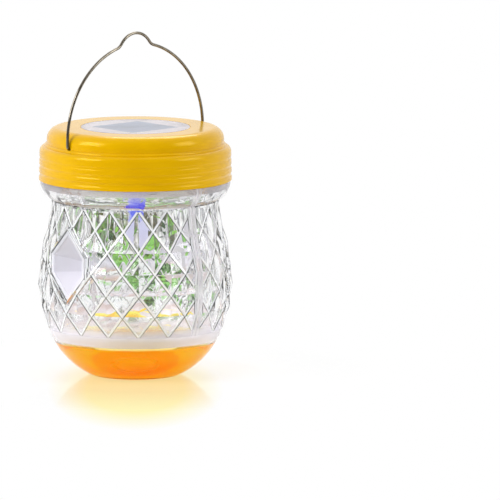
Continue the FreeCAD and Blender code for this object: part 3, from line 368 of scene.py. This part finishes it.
def bars_on_jar(name, material, places):
    """One piece made of straight bars with a four-sided section.

    Each place is a bar's two ends, half its width as a vector, the way out of the jar, and its depth inwards.
    """
    mesh = bpy.data.meshes.new(name)
    corners, faces = [], []
    for first, last, across, out, depth in places:
        start = len(corners)
        for end in (first, last):
            corners += [end - across, end + out * GROOVE_RISE, end + across, end - out * depth]
        faces += [[start + k, start + (k + 1) % 4, start + 4 + (k + 1) % 4, start + 4 + k] for k in range(4)]
        faces += [[start + k for k in (3, 2, 1, 0)], [start + 4 + k for k in range(4)]]
    mesh.from_pydata([tuple(corner) for corner in corners], [], faces)
    bars = bpy.data.objects.new(name, mesh)
    bpy.context.collection.objects.link(bars)
    mesh.materials.append(material)
    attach(bars, "jar")


def groove_bars(name, node, material, width, aside=0.0):
    """Bars along a shell's hollow edges, set aside towards the lower flank."""
    places = []
    for first, last, out in hollow_edges(node):
        across = (last - first).normalized().cross(out).normalized()
        if across.z > 0:
            across = -across
        shift = across * aside
        places.append((first + shift, last + shift, across * (width / 2), out, GROOVE_RISE))
    bars_on_jar(name, material, places)


# Painted highlights and painted shade: the groove bars are whitish plastic standing for bright lines of light, and
# the dark grey strips beside them, also used at the ports, stand for shade
GROOVE = clear_plastic("groove", linear(255, 255, 255), linear(250, 252, 255), roughness=0.15, milk=0.6)
PAINTED_SHADE = clear_plastic("groove_painted_shade", linear(92, 98, 92), linear(66, 70, 66), roughness=0.2, milk=0.35)
for side in ("left", "right"):
    shell = nodes[f"shell_half_{side}"]
    groove_bars(f"grooves_{side}", shell, GROOVE, GROOVE_WIDTH)
    groove_bars(f"groove_painted_shade_{side}", shell, PAINTED_SHADE, SHADE_WIDTH, (GROOVE_WIDTH + SHADE_WIDTH) / 2)

# Painted shade at the ports: dark bars along two edges of each port, where the walls' ends turn from the light

EDGE_WIDTH = 1.0 * MM
EDGE_ASIDE = 0.7 * MM


def port_edge_shade(name, node, side):
    """Two bars of painted shade beside a port's rim: along its upper edge on one side and its lower edge on the
    other.
    """
    points = [node.matrix_world @ vertex.co for vertex in node.data.vertices]
    face = max(point.x * side for point in points)
    rim_points = [point for point in points if point.x * side > face - 0.05 * MM]
    middle = (max(point.z for point in rim_points) + min(point.z for point in rim_points)) / 2
    half = max(point.z for point in rim_points) - middle
    wide = max(abs(point.y) for point in rim_points)
    shoulder = max(abs(point.z - middle) for point in rim_points if abs(point.y) > wide - 0.05 * MM)
    out = Vector((side, 0, 0))
    places = []
    for up in (1, -1):
        first = Vector((side * face, -side * up * wide, middle + up * shoulder))
        last = Vector((side * face, 0, middle + up * half))
        across = (last - first).normalized().cross(out)
        if across.z * up < 0:
            across = -across
        shift = across * EDGE_ASIDE
        places.append((first + shift, last + shift, across * (EDGE_WIDTH / 2), out, EDGE_WIDTH))
    bars_on_jar(name, PAINTED_SHADE, places)


port_edge_shade("port_edges_left", nodes["entry_funnel_left"], -1)
port_edge_shade("port_edges_right", nodes["entry_funnel_right"], 1)

# Camera: a long lens at the photograph's angle, with the trap left of the middle

AZIMUTH = math.radians(-42)
ELEVATION = math.radians(8.2)
LENS = 1000.0
SENSOR = 36.0
PHOTO_SIDE = 500
LID_PIXELS = 193
LID_WIDTH = 110 * MM
AXIS_PIXEL = 135.4
AIM = Vector((0, 0, 71 * MM))

view_width = LID_WIDTH * PHOTO_SIDE / LID_PIXELS
distance = view_width * LENS / SENSOR
towards = direction(AZIMUTH, ELEVATION)
camera_data = bpy.data.cameras.new("camera")
camera_data.lens = LENS
camera_data.sensor_width = SENSOR
camera_data.shift_x = (PHOTO_SIDE / 2 - AXIS_PIXEL) / PHOTO_SIDE
camera_data.clip_end = 100
camera = bpy.data.objects.new("camera", camera_data)
camera.location = AIM + towards * distance
camera.rotation_euler = towards.to_track_quat("Z", "Y").to_euler()
bpy.context.collection.objects.link(camera)
bpy.context.scene.camera = camera

# Stage: a pale floor with a painted pool of yellow light in front of the trap, soft lamps, a card behind the trap,
# and a surround that is white to the camera and dimmer on its side to what is mirrored or bent

POOL = 0.14
POOL_WHITE = 0.5
GLOW_MIDDLE = 0.06
GLOW_WIDE = 0.05
GLOW_LONG = 0.15
PAINTED_GLOW_COLOR = linear(255, 248, 190)
FLOOR_HALF = 20.0
FLOOR_HEIGHT = -0.2 * MM
CARD_AWAY = 0.085
CARD_HALF = 0.038
CARD_LOW = 0.027
CARD_HIGH = 0.13
DIM_ROOM = 0.25
FILL_STRENGTH = 0.45
LAMPS_AIM = Vector((0, 0, 0.1))


def sheet(name, corners, material):
    """One flat four-cornered piece of the stage."""
    mesh = bpy.data.meshes.new(name)
    mesh.from_pydata([tuple(corner) for corner in corners], [], [(0, 1, 2, 3)])
    mesh.materials.append(material)
    piece = bpy.data.objects.new(name, mesh)
    bpy.context.collection.objects.link(piece)
    return piece


def stage_floor():
    n = Nodes("floor")
    place = n.place()
    away = n.add("ShaderNodeVectorMath", {"operation": "LENGTH"}, at0=place)
    drift = n.noise(3.0)
    bare_color = n.ramp(drift.outputs["Fac"], linear(252, 252, 252), linear(249, 249, 250))
    # A painted pool of pale yellow light on the floor in front of the trap, standing for light thrown through the
    # bait; it tints both the lit floor and its white
    thrown = n.add("ShaderNodeMapping", {"vector_type": "TEXTURE"}, Vector=place,
                   Location=direction(AZIMUTH) * GLOW_MIDDLE, Rotation=(0, 0, AZIMUTH),
                   Scale=(GLOW_WIDE, GLOW_LONG, 1))
    off = n.add("ShaderNodeVectorMath", {"operation": "LENGTH"}, at0=thrown.outputs["Vector"])
    painted_glow = n.add("ShaderNodeMapRange", Value=off.outputs["Value"], From_Min=0.55, From_Max=1.0,
                 To_Min=1.0, To_Max=0.0).outputs["Result"]
    surface = n.add("ShaderNodeBsdfPrincipled", Base_Color=n.blend(painted_glow, bare_color, PAINTED_GLOW_COLOR),
                    Roughness=0.06, Specular_IOR_Level=1.0)
    white = n.add("ShaderNodeEmission", Color=n.blend(painted_glow, WHITE, PAINTED_GLOW_COLOR), Strength=1.0)
    ray = n.add("ShaderNodeLightPath")
    bare = n.add("ShaderNodeMapRange", Value=away.outputs["Value"], From_Min=POOL / 2, From_Max=POOL,
                 To_Min=POOL_WHITE, To_Max=1.0)
    seen = n.math("MAXIMUM", ray.outputs["Is Camera Ray"], ray.outputs["Is Transmission Ray"])
    share = n.math("MULTIPLY", seen, bare.outputs["Result"])
    material = n.finish(n.either(share, surface.outputs["BSDF"], white.outputs["Emission"]))
    floor = sheet("floor", [(x * FLOOR_HALF, y * FLOOR_HALF, FLOOR_HEIGHT)
                            for x, y in ((-1, -1), (1, -1), (1, 1), (-1, 1))], material)


def garden_card():
    """A card behind the trap, seen only through its clear walls: patches of leaf green, shade and sky."""
    n = Nodes("garden_card")
    place = n.add("ShaderNodeMapping", Vector=n.place(), Scale=(1, 1, 2.6)).outputs["Vector"]
    broad = n.add("ShaderNodeTexNoise", Vector=place, Scale=15.0, Detail=2.0)
    fine = n.add("ShaderNodeTexNoise", Vector=place, Scale=38.0, Detail=3.0)
    leaf = n.ramp(fine.outputs["Fac"], linear(50, 78, 44), linear(150, 220, 104), 0.4, 0.58)
    shade = n.ramp(fine.outputs["Fac"], linear(78, 88, 76), linear(252, 253, 252), 0.42, 0.54)
    pick = n.add("ShaderNodeMapRange", Value=broad.outputs["Fac"], From_Min=0.48, From_Max=0.54)
    glow = n.add("ShaderNodeEmission", Color=n.blend(pick.outputs["Result"], leaf, shade), Strength=1.0)
    across = Vector((math.cos(AZIMUTH), math.sin(AZIMUTH), 0)) * CARD_HALF
    centre = direction(AZIMUTH) * -CARD_AWAY
    low, high = Vector((0, 0, CARD_LOW)), Vector((0, 0, CARD_HIGH))
    card = sheet("garden_card", [centre - across + low, centre + across + low, centre + across + high,
                                 centre - across + high], n.finish(glow.outputs["Emission"]))
    card.visible_camera = False
    card.visible_diffuse = False
    card.visible_glossy = False
    card.visible_shadow = False


def soft_lamp(name, azimuth, elevation, away, side, watts):
    data = bpy.data.lights.new(name, "AREA")
    data.shape = "SQUARE"
    data.size = side
    data.energy = watts
    lamp = bpy.data.objects.new(name, data)
    way = direction(math.radians(azimuth), math.radians(elevation))
    lamp.location = way * away + LAMPS_AIM
    lamp.rotation_euler = way.to_track_quat("Z", "Y").to_euler()
    bpy.context.collection.objects.link(lamp)


def surround():
    """White for the camera, and for what is bent or mirrored from behind. The camera's side is a dim room."""
    n = Nodes("surround", bpy.data.worlds, "ShaderNodeOutputWorld")
    ray = n.add("ShaderNodeLightPath")
    around = n.add("ShaderNodeTexCoord").outputs["Generated"]
    toward = n.add("ShaderNodeVectorMath", {"operation": "DOT_PRODUCT"}, at0=around, at1=direction(AZIMUTH))
    dim = n.add("ShaderNodeMapRange", Value=toward.outputs["Value"], From_Min=0.15, From_Max=0.6, To_Min=1.0,
                To_Max=DIM_ROOM)
    bent = n.math("MAXIMUM", ray.outputs["Is Glossy Ray"], ray.outputs["Is Transmission Ray"])
    fill, room, white = (n.add("ShaderNodeBackground", Color=WHITE, Strength=strength).outputs["Background"]
                         for strength in (FILL_STRENGTH, dim.outputs["Result"], 1.0))
    by_ray = n.either(bent, fill, room)
    bpy.context.scene.world = n.finish(n.either(ray.outputs["Is Camera Ray"], by_ray, white))


stage_floor()
garden_card()
surround()
soft_lamp("key", -105, 32, 1.2, 0.6, 9)
soft_lamp("fill", 30, 28, 1.3, 0.6, 5.5)
soft_lamp("back", 130, 50, 1.3, 0.6, 5)
bpy.context.scene.view_settings.view_transform = "Standard"
